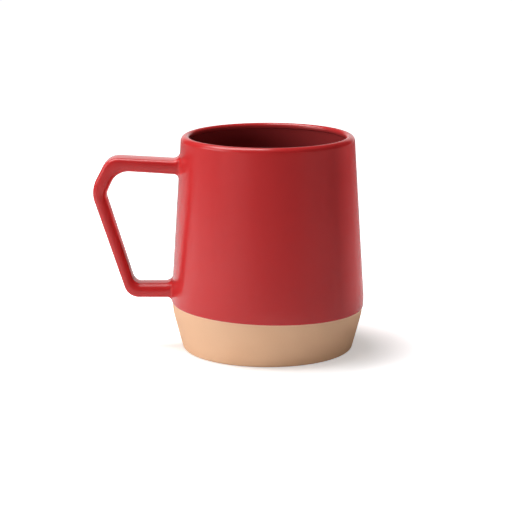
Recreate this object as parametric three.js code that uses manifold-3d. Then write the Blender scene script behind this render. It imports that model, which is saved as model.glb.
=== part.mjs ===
// A stoneware mug, modelled from its foot up. The clay body is turned about a
// vertical axis and flares from a bare foot to a belly, then narrows to the
// rim. A loop handle of four straight bars is luted to it with clay slip. A
// satin glaze coats the inside, the outside above the bare foot, and the handle.
//
// The origin is on the table, under the middle of the whole mug with its
// handle. +Z is up, and the handle points to -X. Lengths are in millimetres.
import * as THREE from "three";
import { mergeVertices } from "three/addons/utils/BufferGeometryUtils.js";
import Module from "manifold-3d";

const wasm = await Module();
wasm.setup();

// Vessel, measured over the glaze
const height = 100;
const footRadius = 39.5;
const footRound = 1.5;
const bellyRadius = 45.2;
const bellyHeight = 20.2;
const bellyRound = 32;
const rimRadius = 40;
const rimOuterRound = 2.7;
const rimInnerRound = 0.5;

// Walls, measured over the glaze
const lipThickness = 3.2;
const wallThickness = 4.5;
const floorThickness = 5;
const floorRound = 11;

// Foot ring under the base
const footRingWidth = 4.5;
const footRecess = 1.5;
const recessRound = 0.9;
const ringInnerRound = 0.6;

// Glaze and slip
const glazeThickness = 0.3;
const bareFootHeight = 20.9;
const slipThickness = 0.8;
const jointGap = 0.3;

// Handle section, measured over the glaze
const barWidth = 13;
const edgeRound = 2;
const largestEdgeShare = 0.45;
const faceCrown = 0.15;

// Outer outline of the handle, seen from the side
const rimToShoulder = 9.8;
const shoulderReach = 32.8;
const upperBarRise = 1.7;
const shoulderRound = 7.9;
const elbowDrop = 15.6;
const elbowReach = 41;
const elbowRound = 12.7;
const heelHeight = 24.5;
const heelReach = 20.1;
const heelRound = 7;

// Inner outline of the handle, as the depth of its bars
const upperBarDepth = 5.6;
const shoulderDepth = { inward: 3.7, down: 6.2 };
const innerShoulderRound = 9.1;
const elbowDepth = { inward: 6.3, down: 2.3 };
const innerElbowRound = 7.7;
const heelDepth = { inward: 2.8, up: 6.1 };
const innerHeelRound = 6.5;
const lowerBarDepth = 6.2;

// Fillets where the handle meets the wall
const rootRoundAbove = 3.5;
const rootRoundBelow = 2.2;
const rootRoundSide = 2.6;
const rootRun = 4;

// How finely round stretches are cut
const turnSegments = 60;
const edgeSteps = 3;
const railSteps = 5;

/**
 * Follows a run of corners {r, z} and rounds each one that has a round.
 * Each point carries its normal, to the right of the way the path runs.
 */
function smoothPath(corners) {
  const heading = (from, to) => Math.atan2(to.z - from.z, to.r - from.r);
  return corners.flatMap((corner, index) => {
    const before = corners[index - 1];
    const after = corners[index + 1];
    const arriving = before ? heading(before, corner) : heading(corner, after);
    const leaving = after ? heading(corner, after) : arriving;
    const difference = leaving - arriving;
    const turn = Math.atan2(Math.sin(difference), Math.cos(difference));
    const round = corner.round ?? 0;
    const steps = round > 0 ? corner.steps : 0;
    const side = Math.sign(turn);
    const tangent = round * Math.tan(Math.abs(turn) / 2);
    const centreR = corner.r - tangent * Math.cos(arriving) - side * round * Math.sin(arriving);
    const centreZ = corner.z - tangent * Math.sin(arriving) + side * round * Math.cos(arriving);
    return Array.from({ length: steps + 1 }, (_, step) => {
      const angle = steps > 0 ? arriving + (turn * step) / steps : arriving + turn / 2;
      const normal = { r: Math.sin(angle), z: -Math.cos(angle) };
      const r = steps > 0 ? centreR + side * round * normal.r : corner.r;
      const z = steps > 0 ? centreZ + side * round * normal.z : corner.z;
      return { r, z, normal, corner: index };
    });
  });
}

/** Moves a point of a path inward, against its normal. */
function inset(point, depth) {
  return { ...point, r: point.r - depth * point.normal.r, z: point.z - depth * point.normal.z };
}

/** The place on a rising path where it reaches a height. */
function pointAtHeight(path, z) {
  const next = path.findIndex((point) => point.z > z);
  const [low, high] = [path[next - 1], path[next]];
  const share = (z - low.z) / (high.z - low.z);
  const mix = (a, b) => a + (b - a) * share;
  const normal = { r: mix(low.normal.r, high.normal.r), z: mix(low.normal.z, high.normal.z) };
  return { ...low, r: mix(low.r, high.r), z, normal, next };
}

// The glazed surface of the vessel, from the middle of the underside, up the
// outside, over the rim and down to the middle of the floor inside.
const floorHeight = footRecess + floorThickness;
const footFlare = (bellyRadius - footRadius) / bellyHeight;
const mouthRadius = rimRadius - lipThickness;
const ringInnerRadius = footRadius - footRound - footRingWidth;
const lipRoom = lipThickness - rimInnerRound;
const outsideCorners = [
  { r: 0, z: footRecess },
  { r: ringInnerRadius - footRecess, z: footRecess, round: recessRound, steps: 2 },
  { r: ringInnerRadius, z: 0, round: ringInnerRound, steps: 2 },
  { r: footRadius, z: 0, round: footRound, steps: 3 },
  { r: bellyRadius, z: bellyHeight, round: bellyRound, steps: 6 },
  { r: rimRadius, z: height, round: Math.min(rimOuterRound, lipRoom), steps: 5 },
];
const insideCorners = [
  { r: mouthRadius, z: height, round: rimInnerRound, steps: 2 },
  { r: bellyRadius - wallThickness, z: bellyHeight, round: bellyRound - wallThickness, steps: 4 },
  { r: footRadius + footFlare * floorHeight - wallThickness, z: floorHeight, round: floorRound, steps: 5 },
  { r: 0, z: floorHeight },
];
const surface = smoothPath([...outsideCorners, ...insideCorners]);
const crest = surface.findLastIndex((point) => point.corner < outsideCorners.length);
const outside = surface.slice(0, crest + 1);
const inside = surface.slice(crest);

// The glaze line lies on the outside, and the clay sinks under the glaze there.
const glazeLine = pointAtHeight(outside, bareFootHeight);
const glazedOutside = [glazeLine, ...outside.slice(glazeLine.next)];
const bareOutside = outside.slice(0, glazeLine.next);
const clayOutside = [
  ...bareOutside.map((point) => inset(point, (glazeThickness * point.z) / bareFootHeight)),
  ...glazedOutside.map((point) => inset(point, glazeThickness)),
];
const clayUnderGlaze = clayOutside.slice(bareOutside.length);
const clayInside = inside.map((point) => inset(point, glazeThickness));

/** The glazed wall's radius at a height. */
function wallRadius(z) {
  return pointAtHeight(outside, z).r;
}

// The vessel's axis stands off the middle of the mug, which its handle shares.
const bellyReach = Math.max(...outside.map((point) => point.r));
const shoulderHeight = height - rimToShoulder;
const elbowHeight = shoulderHeight - elbowDrop;
const upperWall = wallRadius(shoulderHeight);
const lowerWall = wallRadius(heelHeight);

// The two outlines of the handle, from the upper end to the lower one.
const shoulder = { r: upperWall + shoulderReach, z: shoulderHeight };
const elbow = { r: upperWall + elbowReach, z: elbowHeight };
const heel = { r: lowerWall + heelReach, z: heelHeight };
const upperEnd = { r: upperWall, z: shoulderHeight - upperBarRise };
const lowerEnd = { r: lowerWall, z: heelHeight };
const outerRail = smoothPath([
  upperEnd,
  { ...shoulder, round: shoulderRound, steps: railSteps },
  { ...elbow, round: elbowRound, steps: railSteps },
  { ...heel, round: heelRound, steps: railSteps },
  lowerEnd,
]);
const innerRail = smoothPath([
  { r: upperEnd.r, z: upperEnd.z - upperBarDepth },
  {
    r: shoulder.r - shoulderDepth.inward,
    z: shoulder.z - shoulderDepth.down,
    round: innerShoulderRound,
    steps: railSteps,
  },
  { r: elbow.r - elbowDepth.inward, z: elbow.z - elbowDepth.down, round: innerElbowRound, steps: railSteps },
  { r: heel.r - heelDepth.inward, z: heel.z + heelDepth.up, round: innerHeelRound, steps: railSteps },
  { r: lowerEnd.r, z: lowerEnd.z + lowerBarDepth },
]);
const handleReach = Math.max(...outerRail.map((point) => point.r)) + faceCrown;
const axisX = (handleReach - bellyReach) / 2;

/**
 * One turn round a bar's section as {across, up}, first along its inner face
 * and then back along its outer face, so that the two faces match in pairs.
 */
function sectionLoop(width, depth, corner) {
  const round = Math.min(corner, largestEdgeShare * depth, largestEdgeShare * width);
  const edge = Array.from({ length: edgeSteps + 1 }, (_, step) => {
    const angle = (Math.PI / 2) * (step / edgeSteps);
    return {
      across: width / 2 - round * (1 - Math.cos(angle)),
      up: depth / 2 - round * (1 - Math.sin(angle)),
    };
  });
  const farEdge = edge.map((point) => ({ ...point, across: -point.across }));
  const outer = [...farEdge, { across: 0, up: depth / 2 + faceCrown }, ...edge.toReversed()];
  const inner = outer.map((point) => ({ ...point, up: -point.up }));
  return [...inner, ...outer.toReversed()];
}

/** A ring of the handle, sunk by a depth, between matching points of its rails. */
function barRing(outer, inner, depth) {
  const dx = outer.r - inner.r;
  const dz = outer.z - inner.z;
  const span = Math.hypot(dx, dz);
  const loop = sectionLoop(barWidth - 2 * depth, span - 2 * depth, edgeRound - depth);
  return loop.map(({ across, up }) => {
    const share = 0.5 + up / span;
    return new THREE.Vector3(axisX - inner.r - dx * share, across, inner.z + dz * share);
  });
}

/** How far a fillet spreads from a bar's face at a distance from the wall. */
function fillet(round, sunk, distance) {
  const across = Math.min(round + sunk, Math.max(0, round - distance));
  return round + sunk - Math.sqrt((round + sunk) ** 2 - across ** 2);
}

/** The height of a straight bar's edge at a distance from the axis. */
function edgeHeight(from, to, r) {
  return from.z + ((to.z - from.z) * (r - from.r)) / (to.r - from.r);
}

/**
 * A ring of the handle that follows the wall at a distance from the glaze.
 * It is sunk by a depth, spreads into the fillets and can be shrunk all round.
 */
function rootRing(root, distance, depth, shrink = 0) {
  const reach = wallRadius((root.outer[0].z + root.inner[0].z) / 2) + distance;
  const edges = [edgeHeight(...root.outer, reach), edgeHeight(...root.inner, reach)];
  const above = fillet(rootRoundAbove, depth, distance) - depth - shrink;
  const below = fillet(rootRoundBelow, depth, distance) - depth - shrink;
  const beside = fillet(rootRoundSide, depth, distance) - depth - shrink;
  const top = Math.max(...edges) + above;
  const bottom = Math.min(...edges) - below;
  const loop = sectionLoop(barWidth + 2 * beside, top - bottom, edgeRound + beside);
  const outward = edges[0] > edges[1] ? 1 : -1;
  return loop.map(({ across, up }) => {
    const z = (top + bottom) / 2 + outward * up;
    const wall = Math.sqrt(wallRadius(z) ** 2 - across ** 2);
    return new THREE.Vector3(axisX - wall - distance, across, z);
  });
}

/** The triangles of the skin that joins a run of rings. */
function sides(rings) {
  return rings.slice(1).flatMap((next, index) => {
    const ring = rings[index];
    return ring.flatMap((point, here) => {
      const there = (here + 1) % ring.length;
      return [
        [point, next[here], ring[there]],
        [ring[there], next[here], next[there]],
      ];
    });
  });
}

/** The triangles that close a ring, in strips from its inner to its outer face. */
function cap(ring) {
  const last = ring.length - 1;
  return Array.from({ length: ring.length / 2 - 1 }, (_, here) => [
    [ring[here], ring[here + 1], ring[last - here - 1]],
    [ring[here], ring[last - here - 1], ring[last - here]],
  ]).flat();
}

/** The triangles between a ring and a smaller one inside it. */
function rim(outer, inner) {
  return outer.flatMap((point, here) => {
    const there = (here + 1) % outer.length;
    return [
      [point, outer[there], inner[there]],
      [point, inner[there], inner[here]],
    ];
  });
}

/** The same triangles, facing the other way. */
function flipped(triangles) {
  return triangles.map(([a, b, c]) => [a, c, b]);
}

/** A closed mesh from loose triangles. */
function meshed(triangles) {
  const geometry = new THREE.BufferGeometry().setFromPoints(triangles.flat());
  return mergeVertices(geometry);
}

/** A solid bar through a run of rings. */
function barThrough(rings) {
  return meshed([...sides(rings), ...cap(rings[0]), ...flipped(cap(rings.at(-1)))]);
}

/** A shell between two runs of rings. */
function shellBetween(outer, inner) {
  const ends = [...rim(outer[0], inner[0]), ...flipped(rim(outer.at(-1), inner.at(-1)))];
  return meshed([...sides(outer), ...flipped(sides(inner)), ...ends]);
}

/** Turns a profile about the vessel's axis. */
function turnedSolid(profile) {
  const points = profile.map(({ r, z }) => new THREE.Vector2(Math.max(r, 0), z));
  const geometry = new THREE.LatheGeometry(points, turnSegments).rotateX(Math.PI / 2).translate(axisX, 0, 0);
  geometry.deleteAttribute("normal");
  geometry.deleteAttribute("uv");
  return mergeVertices(geometry);
}

/** A closed mesh as a solid that can be cut. */
function solid(geometry) {
  const vertProperties = new Float32Array(geometry.attributes.position.array);
  const triVerts = new Uint32Array(geometry.index.array);
  const mesh = new wasm.Mesh({ numProp: 3, vertProperties, triVerts });
  mesh.merge();
  return new wasm.Manifold(mesh);
}

/** A solid as a mesh. */
function fromSolid(manifold) {
  const { vertProperties, triVerts } = manifold.getMesh();
  const geometry = new THREE.BufferGeometry();
  geometry.setAttribute("position", new THREE.BufferAttribute(vertProperties, 3));
  geometry.setIndex(new THREE.BufferAttribute(triVerts, 1));
  return geometry;
}

// The two roots of the handle, as the straight edges that run into the wall.
const lastOf = (rail) => [rail.at(-1), rail.at(-2)];
const upperRoot = { outer: outerRail.slice(0, 2), inner: innerRail.slice(0, 2) };
const lowerRoot = { outer: lastOf(outerRail), inner: lastOf(innerRail) };
const glazeStart = jointGap;
const clayStart = 2 * jointGap + slipThickness - glazeThickness;
const slipStart = jointGap - glazeThickness;

/** The rings of the handle from wall to wall, sunk by a depth. */
function handleRings(start, depth) {
  const run = [clayStart, (clayStart + rootRoundSide) / 2, rootRoundSide, rootRun];
  const distances = start < clayStart ? [start, ...run] : run;
  const bars = outerRail.slice(1, -1).map((outer, index) => barRing(outer, innerRail[index + 1], depth));
  return [
    ...distances.map((distance) => rootRing(upperRoot, distance, depth)),
    ...bars,
    ...distances.toReversed().map((distance) => rootRing(lowerRoot, distance, depth)),
  ];
}

/** The pad of slip between the wall and one end of the handle. */
function slipPad(root) {
  const near = rootRing(root, slipStart, glazeThickness, jointGap);
  const far = rootRing(root, slipStart + slipThickness, glazeThickness, jointGap);
  return barThrough(root === upperRoot ? [near, far] : [far, near]);
}

/** The plug that opens the outside glaze for one end of the handle. */
function glazeOpening(root) {
  const loop = rootRing(root, slipStart, glazeThickness);
  const inner = loop.map((point) => point.clone().setX(point.x + wallThickness));
  const outer = loop.map((point) => point.clone().setX(point.x - rootRun));
  return solid(barThrough(root === upperRoot ? [inner, outer] : [outer, inner]));
}

// Materials
const bareClay = () => new THREE.MeshStandardMaterial({ color: 0xdcb48c, roughness: 0.85, metalness: 0 });
const driedSlip = () => new THREE.MeshStandardMaterial({ color: 0xc9a27a, roughness: 0.9, metalness: 0 });
const redGlaze = () => new THREE.MeshStandardMaterial({ color: 0xb72f33, roughness: 0.38, metalness: 0 });

/** A named piece of the mug. */
function piece(name, geometry, material) {
  geometry.computeVertexNormals();
  const mesh = new THREE.Mesh(geometry, material);
  mesh.name = name;
  return mesh;
}

const bodyProfile = [...clayOutside, ...clayInside.slice(1)];
const outsideProfile = [...glazedOutside, ...clayUnderGlaze.toReversed(), glazedOutside[0]];
const insideProfile = [...clayInside.toReversed(), ...inside];
const outsideCoat = solid(turnedSolid(outsideProfile));
const openedCoat = outsideCoat.subtract(glazeOpening(upperRoot)).subtract(glazeOpening(lowerRoot));
const coatRings = handleRings(glazeStart, 0);
const coreRings = handleRings(glazeStart, glazeThickness);

const mug = new THREE.Group();
mug.add(piece("stoneware_body", turnedSolid(bodyProfile), bareClay()));
mug.add(piece("stoneware_handle", barThrough(handleRings(clayStart, glazeThickness)), bareClay()));
mug.add(piece("upper_slip_joint", slipPad(upperRoot), driedSlip()));
mug.add(piece("lower_slip_joint", slipPad(lowerRoot), driedSlip()));
mug.add(piece("outside_glaze", fromSolid(openedCoat), redGlaze()));
mug.add(piece("inside_glaze", turnedSolid(insideProfile), redGlaze()));
mug.add(piece("handle_glaze", shellBetween(coatRings, coreRings), redGlaze()));

export default mug;
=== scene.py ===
# %% [markdown]
# This lesson dresses a stoneware mug. The mug is a vessel turned about a vertical
# axis, with a bare clay foot, a satin red glaze and a loop handle of straight bars.
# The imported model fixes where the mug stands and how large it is. The script replaces
# its faceted skins with smooth ones inside that box, and gives every piece its finish.

# %% Load the frame
import math

import bpy
import numpy as np
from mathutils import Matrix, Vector


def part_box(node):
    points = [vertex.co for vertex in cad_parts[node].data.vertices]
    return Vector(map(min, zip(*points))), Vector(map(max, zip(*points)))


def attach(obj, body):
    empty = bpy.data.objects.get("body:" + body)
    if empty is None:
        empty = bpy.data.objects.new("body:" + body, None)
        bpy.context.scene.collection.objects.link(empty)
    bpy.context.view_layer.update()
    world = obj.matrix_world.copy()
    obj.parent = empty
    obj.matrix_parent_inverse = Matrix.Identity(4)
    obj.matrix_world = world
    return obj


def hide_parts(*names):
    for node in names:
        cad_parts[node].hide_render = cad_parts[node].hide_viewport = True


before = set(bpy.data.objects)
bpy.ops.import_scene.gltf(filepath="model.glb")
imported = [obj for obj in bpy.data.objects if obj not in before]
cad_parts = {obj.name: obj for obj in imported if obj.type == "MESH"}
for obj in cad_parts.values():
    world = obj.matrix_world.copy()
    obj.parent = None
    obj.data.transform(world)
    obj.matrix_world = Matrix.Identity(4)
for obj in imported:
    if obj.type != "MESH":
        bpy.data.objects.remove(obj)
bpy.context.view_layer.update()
MM = 0.001
body_low, body_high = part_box("stoneware_body")
axis_x = (body_low.x + body_high.x) / 2
rim_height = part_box("inside_glaze")[1].z
glaze_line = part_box("outside_glaze")[0].z
print("vessel axis", round(axis_x / MM, 3), "mm, rim", round(rim_height / MM, 3), "mm")

# %% [markdown]
# The camera comes first, because everything is judged through it. A long lens from
# about a metre away keeps the sides of the mug nearly upright. The camera looks a
# little down, so that the mouth shows as a flat ellipse.

# %% Camera
camera_distance = 887.86 * MM
camera_height = 238.31 * MM
camera_pitch_down = 0.216604
camera_turn_left = 0.006126
focal_length_in_pixels = 1949.94
image_width_in_pixels = 512

camera_data = bpy.data.cameras.new("camera")
camera_data.sensor_width = 36
camera_data.lens = focal_length_in_pixels * camera_data.sensor_width / image_width_in_pixels
camera = bpy.data.objects.new("camera", camera_data)
camera.location = (axis_x, -camera_distance, camera_height)
camera.rotation_euler = (math.pi / 2 - camera_pitch_down, 0, camera_turn_left)
bpy.context.scene.collection.objects.link(camera)
bpy.context.scene.camera = camera
bpy.context.scene.view_settings.view_transform = "Standard"
print("lens", round(camera_data.lens, 1), "mm")

# %% [markdown]
# A potter describes a vessel by its profile, the line that a template would cut as
# the clay turns. Here that line is a short list of corners, each with the radius of
# the round that softens it. Working from corners keeps the few sizes that matter in
# sight, and the arcs between them can be as fine as the picture needs.

# %% Rounded paths
ARC_STEP = math.radians(4)
LONGEST_STRETCH = 2.5 * MM


def heading(start, end):
    """The angle at which a straight stretch runs."""
    return math.atan2(end[1] - start[1], end[0] - start[0])


def rounded_path(corners, arc_steps=None):
    """Points (r, z) and headings along corners (r, z, round), with each round as an arc."""
    points, headings = [], []
    last = len(corners) - 1
    for index, (r, z, round_radius) in enumerate(corners):
        arriving = heading(corners[max(index - 1, 0)], corners[max(index, 1)])
        leaving = heading(corners[min(index, last - 1)], corners[min(index + 1, last)])
        turn = math.remainder(leaving - arriving, 2 * math.pi)
        if round_radius == 0:
            points.append((r, z))
            headings.append(arriving + turn / 2)
            continue
        side = math.copysign(1, turn)
        reach = round_radius * math.tan(abs(turn) / 2)
        centre_r = r - reach * math.cos(arriving) - side * round_radius * math.sin(arriving)
        centre_z = z - reach * math.sin(arriving) + side * round_radius * math.cos(arriving)
        steps = arc_steps or max(2, math.ceil(abs(turn) / ARC_STEP))
        for step in range(steps + 1):
            angle = arriving + turn * step / steps
            points.append((
                centre_r + side * round_radius * math.sin(angle),
                centre_z - side * round_radius * math.cos(angle),
            ))
            headings.append(angle)
    return np.array(points), np.array(headings)


def with_short_stretches(points, headings, longest=LONGEST_STRETCH):
    """The same path with extra points wherever a stretch is long."""
    new_points, new_headings = [points[0]], [headings[0]]
    for here in range(1, len(points)):
        length = np.linalg.norm(points[here] - points[here - 1])
        pieces = max(1, math.ceil(length / longest))
        turn = math.remainder(headings[here] - headings[here - 1], 2 * math.pi)
        for piece in range(1, pieces + 1):
            share = piece / pieces
            new_points.append(points[here - 1] + (points[here] - points[here - 1]) * share)
            new_headings.append(headings[here - 1] + turn * share)
    return np.array(new_points), np.array(new_headings)


def outward(headings):
    """The normals to the right of the way a path runs."""
    return np.stack([np.sin(headings), -np.cos(headings)], axis=1)


# %% [markdown]
# The profile starts under the foot, rises up the outside, turns over the lip and comes
# down the inside to the floor. The lip is thick and round, with a slight bead inside
# it. The outline follows the photograph. The foot ring, the floor and the wall's
# thickness don't show there, and follow the way such mugs are usually made.

# %% The profile of the vessel
foot_radius = 39.5 * MM
foot_round = 1.5 * MM
belly_radius = 45.2 * MM
belly_height = 20.2 * MM
belly_round = 32 * MM
rim_radius = 40 * MM
rim_outer_round = 2.5 * MM
rim_inner_round = 1.6 * MM
lip_thickness = 3.9 * MM
lip_bead = 0.3 * MM
lip_bead_depth = 2.3 * MM
lip_bead_round = 0.45 * MM
wall_thickness = 4.5 * MM
floor_thickness = 5 * MM
floor_round = 11 * MM
foot_ring_width = 4.5 * MM
foot_recess = 1.5 * MM
recess_round = 0.9 * MM
ring_inner_round = 0.6 * MM
glaze_thickness = 0.3 * MM

floor_height = foot_recess + floor_thickness
ring_inner_radius = foot_radius - foot_round - foot_ring_width
foot_flare = (belly_radius - foot_radius) / belly_height
surface_corners = [
    (0, foot_recess, 0),
    (ring_inner_radius - foot_recess, foot_recess, recess_round),
    (ring_inner_radius, 0, ring_inner_round),
    (foot_radius, 0, foot_round),
    (belly_radius, belly_height, belly_round),
    (rim_radius, rim_height, rim_outer_round),
    (rim_radius - lip_thickness, rim_height, rim_inner_round),
    (rim_radius - lip_thickness, rim_height - lip_bead_depth, lip_bead_round),
    (rim_radius - lip_thickness + lip_bead, rim_height - lip_bead_depth - lip_bead, lip_bead_round),
    (belly_radius - wall_thickness, belly_height, belly_round - wall_thickness),
    (foot_radius + foot_flare * floor_height - wall_thickness, floor_height, floor_round),
    (0, floor_height, 0),
]
surface, surface_headings = with_short_stretches(*rounded_path(surface_corners))
packed_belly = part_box("outside_glaze")[1].y
surface[:, 0] *= packed_belly / surface[:, 0].max()
crest = int(np.argmax(surface[:, 1]))
on_foot_round = (surface[:, 0] > foot_radius - foot_round) & (surface[:, 1] < foot_round)
foot_edge = int(np.argmax(on_foot_round))
wall = surface[foot_edge : crest + 1]
print("profile", len(surface), "points, belly", round(surface[:, 0].max() / MM, 2), "mm")


def wall_radius(height):
    """The radius of the glazed wall at a height."""
    return np.interp(height, wall[:, 1], wall[:, 0])


# %% [markdown]
# The glaze is a skin about a third of a millimetre thick. A foot like this is often
# waxed before dipping, so that the skin stops in a rounded edge, which stands a little
# proud where the melt pulls back. The line also runs higher on the handle side, as it
# does when a mug is dipped slightly tilted. In section the skin is one closed loop: up
# the outside, over the lip, down to the floor and back along the clay.

# %% The sections of the clay and the glaze
edge_rounding = 0.8 * MM
edge_bead = 0.02 * MM
edge_bead_place = 0.8 * MM
edge_bead_width = 0.45 * MM
edge_fine_run = 1.8 * MM
edge_fine_points = 18
edge_fine_growth = 1.5
line_slant = 0.0267
slant_fades_over = 14 * MM
HIDDEN_STEP = 4


def clay_depth(points):
    """How far the clay lies under the glazed surface, from nothing at the table."""
    outside = np.arange(len(points)) <= crest
    on_foot = outside & (points[:, 1] < glaze_line)
    return np.where(on_foot, glaze_thickness * points[:, 1] / glaze_line, glaze_thickness)


on_underside = np.arange(len(surface)) < foot_edge
clay_inset = np.where(on_underside, 0, clay_depth(surface))
clay_profile = surface - outward(surface_headings) * clay_inset[:, None]
clay_profile[0, 0] = clay_profile[-1, 0] = 0

first_glazed = foot_edge + int(np.argmax(wall[:, 1] > glaze_line))
last_bare = first_glazed - 1
start_share = (glaze_line - surface[last_bare, 1]) / (surface[first_glazed, 1] - surface[last_bare, 1])
start_point = surface[last_bare] + start_share * (surface[first_glazed] - surface[last_bare])
start_turn = surface_headings[first_glazed] - surface_headings[last_bare]
start_heading = surface_headings[last_bare] + start_share * start_turn
coat_points = np.vstack([start_point, surface[first_glazed:]])
coat_headings = np.append(start_heading, surface_headings[first_glazed:])
coat_lengths = np.append(0, np.cumsum(np.linalg.norm(np.diff(coat_points, axis=0), axis=1)))
fine_shares = np.arange(edge_fine_points) / edge_fine_points
fine_lengths = edge_fine_run * fine_shares**edge_fine_growth
lengths = np.append(fine_lengths, coat_lengths[coat_lengths > edge_fine_run])
coat_surface = np.stack(
    [np.interp(lengths, coat_lengths, coat_points[:, axis]) for axis in (0, 1)], axis=1
)
coat_directions = np.interp(lengths, coat_lengths, np.unwrap(coat_headings))

rounding = np.clip(1 - lengths / edge_rounding, 0, 1)
bead = edge_bead * np.exp(-(((lengths - edge_bead_place) / edge_bead_width) ** 2))
coat_depth = glaze_thickness * np.sqrt(1 - rounding**2) + bead * (1 - rounding)
coat_back = coat_surface - outward(coat_directions) * glaze_thickness
coat_front = coat_back + outward(coat_directions) * coat_depth[:, None]
coat_front[-1, 0] = coat_back[-1, 0] = 0

fade = np.clip(1 - lengths / slant_fades_over, 0, 1)
slide_weight = fade * fade * (3 - 2 * fade)
along_the_coat = np.stack([np.cos(coat_directions), np.sin(coat_directions)], axis=1)
coat_slides = along_the_coat * slide_weight[:, None]
past_the_lip = lengths - lengths[np.argmax(coat_surface[:, 1])]
coat_order = np.append(np.arange(len(lengths)), np.arange(len(lengths) - 1, 0, -HIDDEN_STEP))
is_back = np.arange(len(coat_order)) >= len(lengths)
coat_profile = np.where(is_back[:, None], coat_back[coat_order], coat_front[coat_order])
coat_profile = np.vstack([coat_profile, coat_front[:1]])
coat_order = np.append(coat_order, 0)
print("glaze section", len(coat_profile), "points")

# %% [markdown]
# Turning a profile follows a rule, so Geometry Nodes do it. A grid gets one row for
# each point of the profile and one column for each step round the axis. Each grid
# point then looks up its point of the profile and swings it round to its place. Spin
# or Screw would do as well, but here the glaze line can also slant on the way, because
# each profile point carries the direction in which it slides along the wall.

# %% The tree that turns a profile
SAME_PLACE = 1e-7


def link(tree, source, target):
    """Joins an output to an input."""
    tree.links.new(source, target)


def math_node(tree, operation, first, second=None):
    """A Math node of two sockets or numbers, as its output."""
    node = tree.nodes.new("ShaderNodeMath")
    node.operation = operation
    for socket, value in zip(node.inputs, (first, second)):
        if isinstance(value, (int, float)):
            socket.default_value = value
        elif value is not None:
            link(tree, value, socket)
    return node.outputs[0]


def turning_tree():
    """Geometry nodes that turn a profile in the XZ plane about an upright axis."""
    tree = bpy.data.node_groups.new("turn_on_the_wheel", "GeometryNodeTree")
    tree.interface.new_socket("Geometry", in_out="INPUT", socket_type="NodeSocketGeometry")
    for name, kind in (
        ("Segments", "NodeSocketInt"),
        ("Axis X", "NodeSocketFloat"),
        ("Slant", "NodeSocketFloat"),
        ("Material", "NodeSocketMaterial"),
    ):
        tree.interface.new_socket(name, in_out="INPUT", socket_type=kind)
    tree.interface.new_socket("Geometry", in_out="OUTPUT", socket_type="NodeSocketGeometry")
    given = tree.nodes.new("NodeGroupInput").outputs
    columns = math_node(tree, "ADD", given["Segments"], 1)

    count = tree.nodes.new("GeometryNodeAttributeDomainSize")
    link(tree, given["Geometry"], count.inputs["Geometry"])
    grid = tree.nodes.new("GeometryNodeMeshGrid")
    link(tree, count.outputs["Point Count"], grid.inputs["Vertices X"])
    link(tree, columns, grid.inputs["Vertices Y"])

    index = tree.nodes.new("GeometryNodeInputIndex").outputs[0]
    middle_of_point = math_node(tree, "ADD", index, 0.5)
    row = math_node(tree, "FLOOR", math_node(tree, "DIVIDE", middle_of_point, columns))
    column = math_node(tree, "SUBTRACT", index, math_node(tree, "MULTIPLY", row, columns))

    def of_profile(value, kind="FLOAT_VECTOR"):
        sample = tree.nodes.new("GeometryNodeSampleIndex")
        sample.data_type = kind
        link(tree, given["Geometry"], sample.inputs["Geometry"])
        link(tree, value, sample.inputs["Value"])
        link(tree, row, sample.inputs["Index"])
        return sample.outputs["Value"]

    def separated(vector):
        parts = tree.nodes.new("ShaderNodeSeparateXYZ")
        link(tree, vector, parts.inputs[0])
        return parts.outputs

    def stored(name, kind):
        attribute = tree.nodes.new("GeometryNodeInputNamedAttribute")
        attribute.data_type = kind
        attribute.inputs["Name"].default_value = name
        return attribute.outputs["Attribute"]

    place = separated(of_profile(tree.nodes.new("GeometryNodeInputPosition").outputs[0]))
    slide = separated(of_profile(stored("slide", "FLOAT_VECTOR")))

    full_turns = math_node(tree, "MULTIPLY", column, 2 * math.pi)
    turn = math_node(tree, "DIVIDE", full_turns, given["Segments"])
    cosine = math_node(tree, "COSINE", turn)
    sine = math_node(tree, "SINE", turn)
    slant_here = math_node(tree, "MULTIPLY", given["Slant"], cosine)
    fall = math_node(tree, "MULTIPLY", slant_here, place["X"])
    radius = math_node(tree, "SUBTRACT", place["X"], math_node(tree, "MULTIPLY", slide["X"], fall))
    height = math_node(tree, "SUBTRACT", place["Z"], math_node(tree, "MULTIPLY", slide["Z"], fall))
    swung = tree.nodes.new("ShaderNodeCombineXYZ")
    aside = math_node(tree, "MULTIPLY", radius, cosine)
    link(tree, math_node(tree, "ADD", given["Axis X"], aside), swung.inputs["X"])
    link(tree, math_node(tree, "MULTIPLY", radius, sine), swung.inputs["Y"])
    link(tree, height, swung.inputs["Z"])

    marked = tree.nodes.new("GeometryNodeStoreNamedAttribute")
    marked.data_type = "FLOAT"
    marked.inputs["Name"].default_value = "past_the_lip"
    link(tree, grid.outputs["Mesh"], marked.inputs["Geometry"])
    link(tree, of_profile(stored("past_the_lip", "FLOAT"), "FLOAT"), marked.inputs["Value"])
    moved = tree.nodes.new("GeometryNodeSetPosition")
    link(tree, marked.outputs["Geometry"], moved.inputs["Geometry"])
    link(tree, swung.outputs[0], moved.inputs["Position"])
    merged = tree.nodes.new("GeometryNodeMergeByDistance")
    merged.inputs["Distance"].default_value = SAME_PLACE
    smooth = tree.nodes.new("GeometryNodeSetShadeSmooth")
    real = tree.nodes.new("GeometryNodeRealizeInstances")
    painted = tree.nodes.new("GeometryNodeSetMaterial")
    link(tree, given["Material"], painted.inputs["Material"])
    result = tree.nodes.new("NodeGroupOutput")
    steps = (moved, merged, smooth, real, painted, result)
    for before, after in zip(steps, steps[1:]):
        link(tree, before.outputs[0], after.inputs[0])
    return tree


wheel = turning_tree()
print("wheel", len(wheel.nodes), "nodes")

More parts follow.
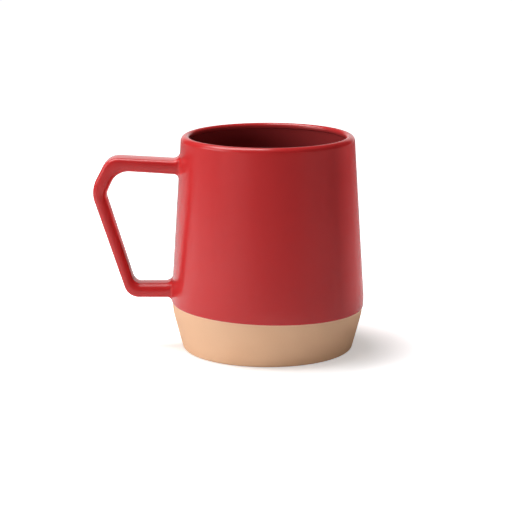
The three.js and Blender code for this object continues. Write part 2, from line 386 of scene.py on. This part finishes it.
# %% [markdown]
# A turned piece starts as a bare line through its profile's points. The modifier turns
# the line, and the result becomes a plain mesh. The volume inside tells whether the
# faces point out: if it comes out negative, the mesh is inside out and is flipped.

# %% Turning a piece
TURN_SEGMENTS = 256
ML_IN_A_CUBIC_METRE = 1e6


def new_object(name, data):
    """An object at the origin that shows a mesh or a lamp."""
    thing = bpy.data.objects.new(name, data)
    bpy.context.scene.collection.objects.link(thing)
    return thing


def volume_of(mesh):
    """The volume inside a mesh, negative if its faces point in."""
    mesh.calc_loop_triangles()
    places = np.zeros(len(mesh.vertices) * 3)
    mesh.vertices.foreach_get("co", places)
    corners = np.zeros(len(mesh.loop_triangles) * 3, int)
    mesh.loop_triangles.foreach_get("vertices", corners)
    a, b, c = places.reshape(-1, 3)[corners.reshape(-1, 3)].transpose(1, 0, 2)
    return float((a * np.cross(b, c)).sum() / 6)


def facing_out(thing):
    """Turns the faces of a closed piece outwards and says what it made."""
    if volume_of(thing.data) < 0:
        thing.data.flip_normals()
    millilitres = volume_of(thing.data) * ML_IN_A_CUBIC_METRE
    print(thing.name, len(thing.data.loop_triangles), "triangles,", round(millilitres, 2), "ml")
    return thing


def turned_piece(name, profile, material, slides, lip_lengths):
    """A piece of the vessel, turned from its profile."""
    line = bpy.data.meshes.new(name)
    stretches = [(k, k + 1) for k in range(len(profile) - 1)]
    line.from_pydata([(r, 0, z) for r, z in profile], stretches, [])
    slide = line.attributes.new("slide", "FLOAT_VECTOR", "POINT")
    slide.data.foreach_set("vector", np.insert(slides, 1, 0, axis=1).ravel())
    lip_distance = line.attributes.new("past_the_lip", "FLOAT", "POINT")
    lip_distance.data.foreach_set("value", lip_lengths)
    thing = new_object(name, line)
    modifier = thing.modifiers.new("turn", "NODES")
    modifier.node_group = wheel
    values = {
        "Segments": TURN_SEGMENTS,
        "Axis X": axis_x,
        "Slant": line_slant,
        "Material": material,
    }
    for socket in wheel.interface.items_tree:
        if socket.name in values:
            modifier[socket.identifier] = values[socket.name]
    shape = thing.evaluated_get(bpy.context.evaluated_depsgraph_get())
    mesh = bpy.data.meshes.new_from_object(shape)
    thing.modifiers.clear()
    thing.data = mesh
    return facing_out(thing)


# %% [markdown]
# Materials come next, because the tree above paints what it makes. Clay, slip and
# glaze share one effect, a fine grain with a slow drift of tone under it, so that
# effect is a node group with named inputs. Each material sets its own grain size.
# All patterns read Object coordinates, in metres, so they stay fixed on the pieces.

# %% Shared shader effects
GRAIN_DETAIL = 3
DRIFT_DETAIL = 1
speckle_reach, speckle_core = 0.22, 0.08


def ramp(tree, value, low, high):
    """A value stretched so that low gives 0 and high gives 1, as an output."""
    node = tree.nodes.new("ShaderNodeMapRange")
    node.inputs["From Min"].default_value = low
    node.inputs["From Max"].default_value = high
    link(tree, value, node.inputs["Value"])
    return node.outputs["Result"]


def noise(tree, vector, scale, detail):
    """Soft noise at a scale, as its factor output."""
    node = tree.nodes.new("ShaderNodeTexNoise")
    node.inputs["Detail"].default_value = detail
    link(tree, vector, node.inputs["Vector"])
    link(tree, scale, node.inputs["Scale"])
    return node.outputs["Fac"]


def grain_group():
    """Grain, drift and speckle masks at sizes given in waves per metre."""
    tree = bpy.data.node_groups.new("fired_grain", "ShaderNodeTree")
    for name, kind in (
        ("Vector", "NodeSocketVector"),
        ("Grain Scale", "NodeSocketFloat"),
        ("Drift Scale", "NodeSocketFloat"),
        ("Speckle Scale", "NodeSocketFloat"),
    ):
        tree.interface.new_socket(name, in_out="INPUT", socket_type=kind)
    for name in ("Grain", "Drift", "Speckle"):
        tree.interface.new_socket(name, in_out="OUTPUT", socket_type="NodeSocketFloat")
    given = tree.nodes.new("NodeGroupInput").outputs
    result = tree.nodes.new("NodeGroupOutput").inputs
    grain = noise(tree, given["Vector"], given["Grain Scale"], GRAIN_DETAIL)
    link(tree, grain, result["Grain"])
    drift = noise(tree, given["Vector"], given["Drift Scale"], DRIFT_DETAIL)
    link(tree, drift, result["Drift"])
    dots = tree.nodes.new("ShaderNodeTexVoronoi")
    link(tree, given["Vector"], dots.inputs["Vector"])
    link(tree, given["Speckle Scale"], dots.inputs["Scale"])
    specks = ramp(tree, dots.outputs["Distance"], speckle_reach, speckle_core)
    link(tree, specks, result["Speckle"])
    return tree


grain_tree = grain_group()

# %% [markdown]
# Glaze and clay both change their tone beside the glaze line. The line slants, so a
# second shared group works out how far above it a point lies. A gradient straight up
# the mug would be simpler, but it would cut across the slanting line.

# %% The height above the glaze line
def line_group():
    """The height above the slanting glaze line, in metres, on Object coordinates."""
    tree = bpy.data.node_groups.new("above_the_glaze_line", "ShaderNodeTree")
    for name, kind in (
        ("Vector", "NodeSocketVector"),
        ("Line Height", "NodeSocketFloat"),
        ("Slant", "NodeSocketFloat"),
        ("Axis X", "NodeSocketFloat"),
    ):
        tree.interface.new_socket(name, in_out="INPUT", socket_type=kind)
    tree.interface.new_socket("Above", in_out="OUTPUT", socket_type="NodeSocketFloat")
    given = tree.nodes.new("NodeGroupInput").outputs
    result = tree.nodes.new("NodeGroupOutput").inputs
    parts = tree.nodes.new("ShaderNodeSeparateXYZ")
    link(tree, given["Vector"], parts.inputs[0])
    aside = math_node(tree, "SUBTRACT", parts.outputs["X"], given["Axis X"])
    fall = math_node(tree, "MULTIPLY", aside, given["Slant"])
    line = math_node(tree, "SUBTRACT", given["Line Height"], fall)
    link(tree, math_node(tree, "SUBTRACT", parts.outputs["Z"], line), result["Above"])
    return tree


line_tree = line_group()

# %% [markdown]
# Each material then needs only a few kinds of step: place a group with its own values,
# mix two colours by a mask, and raise the surface by a mask. These steps are helpers,
# while each shader stays in its material, where the export can read it.

# %% Helpers for the materials
def placed_group(tree, group, **values):
    """A node group in a material, reading Object coordinates, with its own values."""
    node = tree.nodes.new("ShaderNodeGroup")
    node.node_tree = group
    for name, value in values.items():
        node.inputs[name.replace("_", " ")].default_value = value
    coordinates = tree.nodes.new("ShaderNodeTexCoord")
    link(tree, coordinates.outputs["Object"], node.inputs["Vector"])
    return node.outputs


def mixed(tree, share, first, second):
    """A colour between two, each a socket or a plain colour, as its output."""
    node = tree.nodes.new("ShaderNodeMix")
    node.data_type = "RGBA"
    link(tree, share, node.inputs["Factor"])
    for name, value in (("A", first), ("B", second)):
        socket = [s for s in node.inputs if s.name == name and s.type == "RGBA"][0]
        if isinstance(value, tuple):
            socket.default_value = (*value, 1)
        else:
            link(tree, value, socket)
    return [s for s in node.outputs if s.type == "RGBA"][0]


def bumped(tree, shader, height, distance, strength):
    """Raises a surface by a height mask."""
    node = tree.nodes.new("ShaderNodeBump")
    node.inputs["Distance"].default_value = distance
    node.inputs["Strength"].default_value = strength
    link(tree, height, node.inputs["Height"])
    link(tree, node.outputs["Normal"], shader.inputs["Normal"])


def new_material(name):
    """A material's tree and its shader."""
    material = bpy.data.materials.new(name)
    material.use_nodes = True
    return material, material.node_tree, material.node_tree.nodes["Principled BSDF"]


# %% [markdown]
# The glaze is a deep red that fired satin: it scatters a broad sheen and still takes
# a clear highlight on tight edges. Its last half millimetre above the bare foot is a
# touch darker, a painted shade along the glaze line. Past the lip two darker steps paint
# the shade of the dim inside. A shallow ripple keeps the reflections from looking machined.

# %% Red satin glaze
glaze_red = (0.57, 0.029, 0.030)
glaze_red_thick = (0.54, 0.025, 0.026)
glaze_edge_shade = (0.52, 0.032, 0.033)
# Painted shade: past the lip the glaze is given darker colours, darkest deep down towards the floor.
glaze_inside_painted_shade = (0.33, 0.034, 0.035)
glaze_deep_painted_shade = (0.14, 0.018, 0.019)
inside_shade_fade = (1.0 * MM, 3.5 * MM)
deep_shade_fade = (12 * MM, 28 * MM)
glaze_roughness = 0.22
glaze_roughness_spread = 0.03
glaze_ior = 1.45
glaze_ripple = 0.02 * MM
glaze_ripple_strength = 0.25
edge_shade_height = 0.6 * MM


def red_glaze():
    """The satin red glaze."""
    material, tree, shader = new_material("red_glaze")
    grain = placed_group(tree, grain_tree, Grain_Scale=420, Drift_Scale=28)
    above = placed_group(
        tree, line_tree, Line_Height=glaze_line, Slant=line_slant, Axis_X=axis_x
    )["Above"]
    tone = mixed(tree, grain["Drift"], glaze_red, glaze_red_thick)
    lip = tree.nodes.new("ShaderNodeAttribute")
    lip.attribute_name = "past_the_lip"
    # Painted shade inside: darker past the lip, and darker still deep down.
    tone = mixed(tree, ramp(tree, lip.outputs["Fac"], *inside_shade_fade), tone, glaze_inside_painted_shade)
    tone = mixed(tree, ramp(tree, lip.outputs["Fac"], *deep_shade_fade), tone, glaze_deep_painted_shade)
    # Painted shade: a darker band just above the glaze line, along its edge.
    edge_shade = ramp(tree, above, edge_shade_height, 0)
    link(tree, mixed(tree, edge_shade, tone, glaze_edge_shade), shader.inputs["Base Color"])
    shader.inputs["IOR"].default_value = glaze_ior
    roughness = tree.nodes.new("ShaderNodeMapRange")
    roughness.inputs["To Min"].default_value = glaze_roughness - glaze_roughness_spread
    roughness.inputs["To Max"].default_value = glaze_roughness + glaze_roughness_spread
    link(tree, grain["Grain"], roughness.inputs["Value"])
    link(tree, roughness.outputs["Result"], shader.inputs["Roughness"])
    bumped(tree, shader, grain["Grain"], glaze_ripple, glaze_ripple_strength)
    print("glaze", tuple(round(level, 3) for level in glaze_red), "roughness", glaze_roughness)
    return material


# %% [markdown]
# Bare stoneware is matte and fine grained, with faint darker specks where iron in
# the clay shows. The slip that joins the handle is the same clay, watered down, so
# both come from one function with their own colours.

# %% Bare clay and dried slip
clay_tan = (0.86, 0.55, 0.35)
clay_warm = (0.82, 0.49, 0.29)
clay_speck = (0.58, 0.35, 0.20)
clay_pale_band = (0.95, 0.56, 0.42)
slip_tan = (0.60, 0.40, 0.24)
slip_warm = (0.52, 0.33, 0.19)
speck_share = 0.06
grain_share = 0.25
pale_band_share = 0.7
pale_band_height = 0.8 * MM
clay_roughness = 0.7
clay_tooth = 0.05 * MM
clay_tooth_strength = 0.3


def fired_clay(name, light, warm, speck):
    """Matte fired clay, paler and pinker just below the glaze line."""
    material, tree, shader = new_material(name)
    grain = placed_group(tree, grain_tree, Grain_Scale=1400, Drift_Scale=45, Speckle_Scale=520)
    above = placed_group(
        tree, line_tree, Line_Height=glaze_line, Slant=line_slant, Axis_X=axis_x
    )["Above"]
    tone = mixed(tree, grain["Drift"], light, warm)
    specked = mixed(tree, math_node(tree, "MULTIPLY", grain["Speckle"], speck_share), tone, speck)
    grained = mixed(tree, math_node(tree, "MULTIPLY", grain["Grain"], grain_share), specked, warm)
    # Paler and pinker in a narrow band just below the glaze line.
    pale_band = math_node(tree, "MULTIPLY", ramp(tree, above, -pale_band_height, 0), pale_band_share)
    link(tree, mixed(tree, pale_band, grained, clay_pale_band), shader.inputs["Base Color"])
    shader.inputs["Roughness"].default_value = clay_roughness
    bumped(tree, shader, grain["Grain"], clay_tooth, clay_tooth_strength)
    print("clay", name, tuple(round(level, 2) for level in light))
    return material


# %% [markdown]
# The clay and the glaze can now be turned. The clay goes straight round. The glaze
# slides along the wall on the way, which slants its lower edge, and each of its points
# keeps its distance past the lip, from which the glaze paints its shade inside.

# %% The vessel
glaze_material = red_glaze()
clay_material = fired_clay("bare_clay", clay_tan, clay_warm, clay_speck)
slip_material = fired_clay("dried_slip", slip_tan, slip_warm, clay_speck)
clay_still = np.zeros((len(clay_profile), 2))
clay_body = turned_piece("clay_body", clay_profile, clay_material, clay_still, clay_still[:, 0])
glaze_coat = turned_piece(
    "glaze_coat", coat_profile, glaze_material, coat_slides[coat_order], past_the_lip[coat_order]
)

# %% [markdown]
# The handle is a loop of four straight bars with rounded corners and a rounded
# rectangle for a section. Its outer and inner outlines are drawn apart, because the
# bars differ in depth. Both have the same number of points, so that each point of one
# has its partner on the other. A single line with a width would lose that difference.

# %% The outlines of the handle
bar_width = 13 * MM
outer_edge_round = 2.0 * MM
inner_edge_round = 3.3 * MM
face_crown = 0.15 * MM
side_crown = 0.15 * MM
rim_to_shoulder = 9.8 * MM
shoulder_reach = 32.8 * MM
upper_bar_rise = 1.7 * MM
shoulder_round = 7.9 * MM
elbow_drop = 15.6 * MM
elbow_reach = 40.99 * MM
elbow_round = 12.7 * MM
heel_height = 24.3 * MM
heel_reach = 20.1 * MM
heel_round = 7 * MM
upper_bar_depth = 6.5 * MM
shoulder_inward, shoulder_down = 3.8 * MM, 6.4 * MM
inner_shoulder_round = 9.1 * MM
elbow_inward, elbow_down = 6.7 * MM, 2.3 * MM
inner_elbow_round = 6 * MM
heel_inward, heel_up = 3.1 * MM, 6.3 * MM
inner_heel_round = 4 * MM
lower_bar_depth = 6.4 * MM
BEND_STEPS = 16

shoulder_height = rim_height - rim_to_shoulder
elbow_height = shoulder_height - elbow_drop
upper_wall = float(wall_radius(shoulder_height))
lower_wall = float(wall_radius(heel_height))
shoulder = (upper_wall + shoulder_reach, shoulder_height)
elbow = (upper_wall + elbow_reach, elbow_height)
heel = (lower_wall + heel_reach, heel_height)
outer_corners = [
    (upper_wall, shoulder_height - upper_bar_rise, 0),
    (*shoulder, shoulder_round),
    (*elbow, elbow_round),
    (*heel, heel_round),
    (lower_wall, heel_height, 0),
]
inner_corners = [
    (upper_wall, shoulder_height - upper_bar_rise - upper_bar_depth, 0),
    (shoulder[0] - shoulder_inward, shoulder[1] - shoulder_down, inner_shoulder_round),
    (elbow[0] - elbow_inward, elbow[1] - elbow_down, inner_elbow_round),
    (heel[0] - heel_inward, heel[1] + heel_up, inner_heel_round),
    (lower_wall, heel_height + lower_bar_depth, 0),
]
outer_outline = rounded_path(outer_corners, BEND_STEPS)[0]
inner_outline = rounded_path(inner_corners, BEND_STEPS)[0]
print("handle reaches", round(float(outer_outline[:, 0].max() / MM), 2), "mm from the axis")

# %% [markdown]
# The bar's section is a rounded rectangle with a slight crown on each face. Its outer
# edges are tighter than its inner ones. Half of it is worked out and mirrored. It can
# also be drawn under a skin, so that it serves the glaze, the clay and the slip alike.

# %% The section of a bar
rounds_in_depth = 0.96
EDGE_STEPS = 9
FACE_STEPS = 6
SIDE_STEPS = 6


def face_and_edge(half_width, half_depth, corner):
    """Half of a bar's outer face and the round beside it, as (across, up)."""
    flat_across, flat_up = half_width - corner, half_depth - corner
    points = []
    for step in range(FACE_STEPS):
        across = flat_across * step / FACE_STEPS
        crown = face_crown * math.cos(math.pi / 2 * step / FACE_STEPS) ** 2
        points.append((across, half_depth + crown))
    for step in range(EDGE_STEPS + 1):
        angle = math.pi / 2 * step / EDGE_STEPS
        points.append((flat_across + corner * math.sin(angle), flat_up + corner * math.cos(angle)))
    return points


def section(width, depth, swell, skin):
    """One turn round a bar's section as (across, up), under a skin, outer face first."""
    fit = min(1, rounds_in_depth * depth / (outer_edge_round + inner_edge_round + 2 * swell))
    half_width, half_depth = width / 2 - skin, depth / 2 - skin
    outer_part = face_and_edge(half_width, half_depth, (outer_edge_round + swell) * fit - skin)
    facing_in = face_and_edge(half_width, half_depth, (inner_edge_round + swell) * fit - skin)
    inner_part = [(across, -up) for across, up in reversed(facing_in)]
    top, bottom = outer_part[-1][1], inner_part[0][1]
    side = []
    for step in range(1, SIDE_STEPS):
        share = step / SIDE_STEPS
        crown = side_crown * math.sin(math.pi * share) * (top - bottom) / depth
        side.append((half_width + crown, top + (bottom - top) * share))
    half = outer_part + side + inner_part
    return half + [(-across, up) for across, up in half[-2:0:-1]]


# %% [markdown]
# Two functions place the section. Along the bars a ring spans the two outlines. At the
# roots it follows the wall's curve and swells in a quarter circle, so that the glaze
# runs into the wall without a crease. A boolean union would leave a sharp seam there.

# %% The rings of the handle
root_round_above = 3.5 * MM
root_round_below = 2.2 * MM
root_round_side = 1.0 * MM
root_run = 4 * MM
root_sunk = 0.03 * MM
slip_thickness = 0.8 * MM
ROOT_STEPS = 14


def bar_ring(outer, inner, skin):
    """A ring between matching points of the two outlines, under a skin."""
    middle, span = (outer + inner) / 2, outer - inner
    depth = float(np.linalg.norm(span))
    along = span / depth
    ring = []
    for across, up in section(bar_width, depth, 0, skin):
        r, z = middle + along * up
        ring.append((axis_x - r, across, z))
    return ring


def fillet(round_radius, distance):
    """How far a fillet spreads at a distance from the wall."""
    rest = min(round_radius, max(0, round_radius - distance))
    return round_radius - math.sqrt(round_radius**2 - rest**2)


def edge_height(start, end, radius):
    """The height of a straight bar's edge at a distance from the axis."""
    return start[1] + (end[1] - start[1]) * (radius - start[0]) / (end[0] - start[0])


def root_ring(outer, inner, distance, skin):
    """A ring that follows the wall at a distance and swells into the fillets, under a skin."""
    radius = float(wall_radius((outer[0][1] + inner[0][1]) / 2)) + distance
    edges = [edge_height(*outer, radius), edge_height(*inner, radius)]
    top = max(edges) + fillet(root_round_above, distance)
    bottom = min(edges) - fillet(root_round_below, distance)
    beside = fillet(root_round_side, distance)
    outward_side = 1 if edges[0] > edges[1] else -1
    ring = []
    for across, up in section(bar_width + 2 * beside, top - bottom, beside, skin):
        z = (top + bottom) / 2 + outward_side * up
        reach = math.sqrt(float(wall_radius(z)) ** 2 - across**2) + distance
        ring.append((axis_x - reach, across, z))
    return ring


def between(first, second, count):
    """Rings that divide the way between two rings."""
    a, b = np.array(first), np.array(second)
    return [(a + (b - a) * k / count).tolist() for k in range(1, count)]


widest_round = max(root_round_above, root_round_below, root_round_side)
fine_distances = [
    widest_round * (1 - math.cos(math.pi / 2 * k / ROOT_STEPS)) for k in range(ROOT_STEPS + 1)
]
upper_edges = (outer_outline[:2], inner_outline[:2])
lower_edges = (outer_outline[:-3:-1], inner_outline[:-3:-1])


def root_rings(edges, skin, start, end):
    """Rings that follow the wall from one distance to another, under a skin."""
    inner_distances = [distance for distance in fine_distances if start < distance < end]
    distances = [start, *inner_distances, end]
    return [root_ring(*edges, distance, skin) for distance in distances]


def handle_rings(skin, start):
    """The rings of the loop, from the upper root to the lower one, under a skin."""
    rings = root_rings(upper_edges, skin, start, root_run)
    rings += [bar_ring(*pair, skin) for pair in zip(outer_outline[1:-1], inner_outline[1:-1])]
    rings += root_rings(lower_edges, skin, start, root_run)[::-1]
    fine = [rings[0]]
    for ring in rings[1:]:
        gap = np.linalg.norm(np.mean(ring, axis=0) - np.mean(fine[-1], axis=0))
        fine += between(fine[-1], ring, max(1, math.ceil(gap / LONGEST_STRETCH)))
        fine.append(ring)
    print("handle", len(fine), "rings of", len(rings[0]), "points")
    return fine


# %% [markdown]
# All rings have the same number of points, so neighbours join point to point in faces
# of four corners, and a flat face closes each end. The glaze's ends sink a little into
# the wall, which leaves no gap. Under the glaze the clay handle stops short of the
# wall, and a pad of slip fills the space, the way a potter joins a handle.

# %% Skin the handle
def skinned(name, rings, material):
    """A closed skin over a run of rings."""
    size = len(rings[0])
    places = [place for ring in rings for place in ring]
    faces = []
    for row in range(len(rings) - 1):
        for here in range(size):
            there = (here + 1) % size
            first, second = row * size, (row + 1) * size
            faces.append((first + here, first + there, second + there, second + here))
    faces.append(tuple(reversed(range(size))))
    faces.append(tuple(range(len(places) - size, len(places))))
    mesh = bpy.data.meshes.new(name)
    mesh.from_pydata(places, [], faces)
    mesh.polygons.foreach_set("use_smooth", [True] * len(faces))
    mesh.materials.append(material)
    return facing_out(new_object(name, mesh))


handle_coat = skinned("handle_coat", handle_rings(0, -root_sunk), glaze_material)
clay_handle = skinned("clay_handle", handle_rings(glaze_thickness, slip_thickness), clay_material)
upper_slip, lower_slip = (
    skinned(name, root_rings(edges, glaze_thickness, -root_sunk, slip_thickness), slip_material)
    for name, edges in (("upper_slip", upper_edges), ("lower_slip", lower_edges))
)

# %% [markdown]
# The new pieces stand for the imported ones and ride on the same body. The clay handle
# and the two pads of slip that join it to the wall are hidden under the glaze.

# %% Hand the pieces to the frame
for piece, nodes, slot in (
    (clay_body, ["stoneware_body"], "bare_clay"),
    (clay_handle, ["stoneware_handle"], "bare_clay"),
    (upper_slip, ["upper_slip_joint"], "dried_slip"),
    (lower_slip, ["lower_slip_joint"], "dried_slip"),
    (glaze_coat, ["outside_glaze", "inside_glaze"], "red_glaze"),
    (handle_coat, ["handle_glaze"], "red_glaze"),
):
    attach(piece, "root")
    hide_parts(*nodes)

# %% [markdown]
# The studio is a white table and a white background. Only what the camera and the
# reflections see is lifted to white: the light on the mug comes from the lamps. The
# lift is weaker next to the mug, so that its soft shadow stays on the table.

# %% White table
table_radius = 3.0
table_drop = 0.02 * MM
table_points = 96
table_lift_near = 0.42
table_lift_far = 1.0
lift_grows_over = (0.04, 0.10)
mirror_lift_grows_over = (1.0, 2.5)
table_white = (0.9, 0.9, 0.9)
table_roughness = 0.9
lifted_white = (1.0, 1.0, 1.0)


def rays_that_see_the_background(tree):
    """1 for camera, glossy and transmission rays, as (camera, other) outputs."""
    path = tree.nodes.new("ShaderNodeLightPath").outputs
    other = math_node(tree, "MAXIMUM", path["Is Glossy Ray"], path["Is Transmission Ray"])
    return path["Is Camera Ray"], other


table_turns = [2 * math.pi * k / table_points for k in range(table_points)]
table_places = [
    (table_radius * math.cos(turn), table_radius * math.sin(turn), -table_drop) for turn in table_turns
]
table_mesh = bpy.data.meshes.new("table")
table_mesh.from_pydata(table_places, [], [tuple(range(table_points))])
table = new_object("table", table_mesh)
table_material, tree, shader = new_material("white_table")
shader.inputs["Base Color"].default_value = (*table_white, 1)
shader.inputs["Roughness"].default_value = table_roughness
shader.inputs["Specular IOR Level"].default_value = 0
seen, mirrored = rays_that_see_the_background(tree)
coordinates = tree.nodes.new("ShaderNodeTexCoord")
distance = tree.nodes.new("ShaderNodeVectorMath")
distance.operation = "DISTANCE"
distance.inputs[1].default_value = (axis_x, 0, 0)
link(tree, coordinates.outputs["Object"], distance.inputs[0])
lift_growth = tree.nodes.new("ShaderNodeMapRange")
lift_growth.interpolation_type = "SMOOTHSTEP"
lift_growth.inputs["From Min"].default_value = lift_grows_over[0]
lift_growth.inputs["From Max"].default_value = lift_grows_over[1]
lift_growth.inputs["To Min"].default_value = table_lift_near
lift_growth.inputs["To Max"].default_value = table_lift_far
link(tree, distance.outputs["Value"], lift_growth.inputs["Value"])
lift_seen = math_node(tree, "MULTIPLY", seen, lift_growth.outputs["Result"])
mirror_growth = ramp(tree, distance.outputs["Value"], *mirror_lift_grows_over)
lift_mirrored = math_node(tree, "MULTIPLY", mirrored, mirror_growth)
lift = math_node(tree, "ADD", lift_seen, lift_mirrored)
shader.inputs["Emission Color"].default_value = (*lifted_white, 1)
link(tree, lift, shader.inputs["Emission Strength"])
table_mesh.materials.append(table_material)
print("table", table_radius, "m in radius")

# %% [markdown]
# The world hardly lights the mug. The camera sees it white. Reflections see it white
# only straight behind the mug, as a lit backdrop would show, because white all round
# would wash out the red.

# %% World
fill_level = 0.01
window_behind = (0.80, 0.98)
world = bpy.data.worlds.new("studio")
bpy.context.scene.world = world
world.use_nodes = True
tree = world.node_tree
direction = tree.nodes.new("ShaderNodeTexCoord")
parts = tree.nodes.new("ShaderNodeSeparateXYZ")
link(tree, direction.outputs["Generated"], parts.inputs[0])
behind = ramp(tree, parts.outputs["Y"], *window_behind)
seen, mirrored = rays_that_see_the_background(tree)
white_share = math_node(tree, "MAXIMUM", seen, math_node(tree, "MULTIPLY", mirrored, behind))
fill_grey = (fill_level, fill_level, fill_level)
world_colour = mixed(tree, white_share, fill_grey, lifted_white)
link(tree, world_colour, tree.nodes["Background"].inputs["Color"])
print("world fill", fill_level)

# %% [markdown]
# The lamps stand close, as in a small product studio. The overhead softbox ends right
# above the vessel's axis, so its highlight on the lip stops at the middle. Softboxes
# on the left give the sheen, and low ones near the table fill the front. Behind on
# the right, a spot stands level with the glaze line and shines only upwards from there:
# it draws the bright right edge, and leaves the clay and the table dark. The low lamps
# would show in the glaze as grey bands, so they are hidden from reflections, and so is
# the spot.

# %% Lamps
lamp_aim = Vector((axis_x, 0, 0.05))
overhead_width = 0.54
overhead_place = Vector((axis_x - overhead_width / 2, 0.05, 0.62))
# This hair of tilt settles which way the overhead softbox's long side turns.
slightly_off_down = Vector((0, 0.0001, 1))
edge_cone = math.radians(120)
edge_lamp_radius = 0.01
edge_power = 42


def around(azimuth, reach, height):
    """A place round the vessel, its azimuth in degrees from the camera towards the right."""
    turn = math.radians(azimuth)
    return Vector((axis_x + reach * math.sin(turn), -reach * math.cos(turn), height))


def placed_lamp(lamp, place, aim, power, mirrored):
    """Puts a lamp in the studio, turned towards what it aims at."""
    lamp.energy = power
    thing = new_object(lamp.name, lamp)
    thing.location = place
    thing.rotation_euler = (place - aim).to_track_quat("Z", "Y").to_euler()
    thing.visible_glossy = mirrored
    print("lamp", lamp.name, power, "W")


def softbox(name, place, width, height, power, aim=lamp_aim, mirrored=True):
    """A rectangular lamp."""
    lamp = bpy.data.lights.new(name, "AREA")
    lamp.shape = "RECTANGLE"
    lamp.size, lamp.size_y = width, height
    placed_lamp(lamp, place, aim, power, mirrored)


side_place = around(azimuth=-75, reach=0.62, height=0.32)
low_left_place = around(azimuth=-43, reach=0.65, height=0.13)
low_right_place = around(azimuth=60, reach=0.65, height=0.13)
overhead_aim = overhead_place - slightly_off_down
softbox("overhead_left", overhead_place, width=overhead_width, height=0.40, power=4.7, aim=overhead_aim)
softbox("side_left", side_place, width=0.45, height=0.30, power=1.2)
softbox("low_left", low_left_place, width=0.45, height=0.14, power=1.0, mirrored=False)
softbox("low_right", low_right_place, width=0.40, height=0.14, power=0.6, mirrored=False)

edge_lamp = bpy.data.lights.new("edge_right", "SPOT")
edge_lamp.spot_size = edge_cone
edge_lamp.spot_blend = 0
edge_lamp.shadow_soft_size = edge_lamp_radius
edge_place = around(azimuth=135, reach=1.0, height=glaze_line)
edge_rise = (edge_place - Vector((axis_x, 0, glaze_line))).length * math.tan(edge_cone / 2)
edge_aim = Vector((axis_x, 0, glaze_line + edge_rise))
placed_lamp(edge_lamp, edge_place, edge_aim, power=edge_power, mirrored=False)
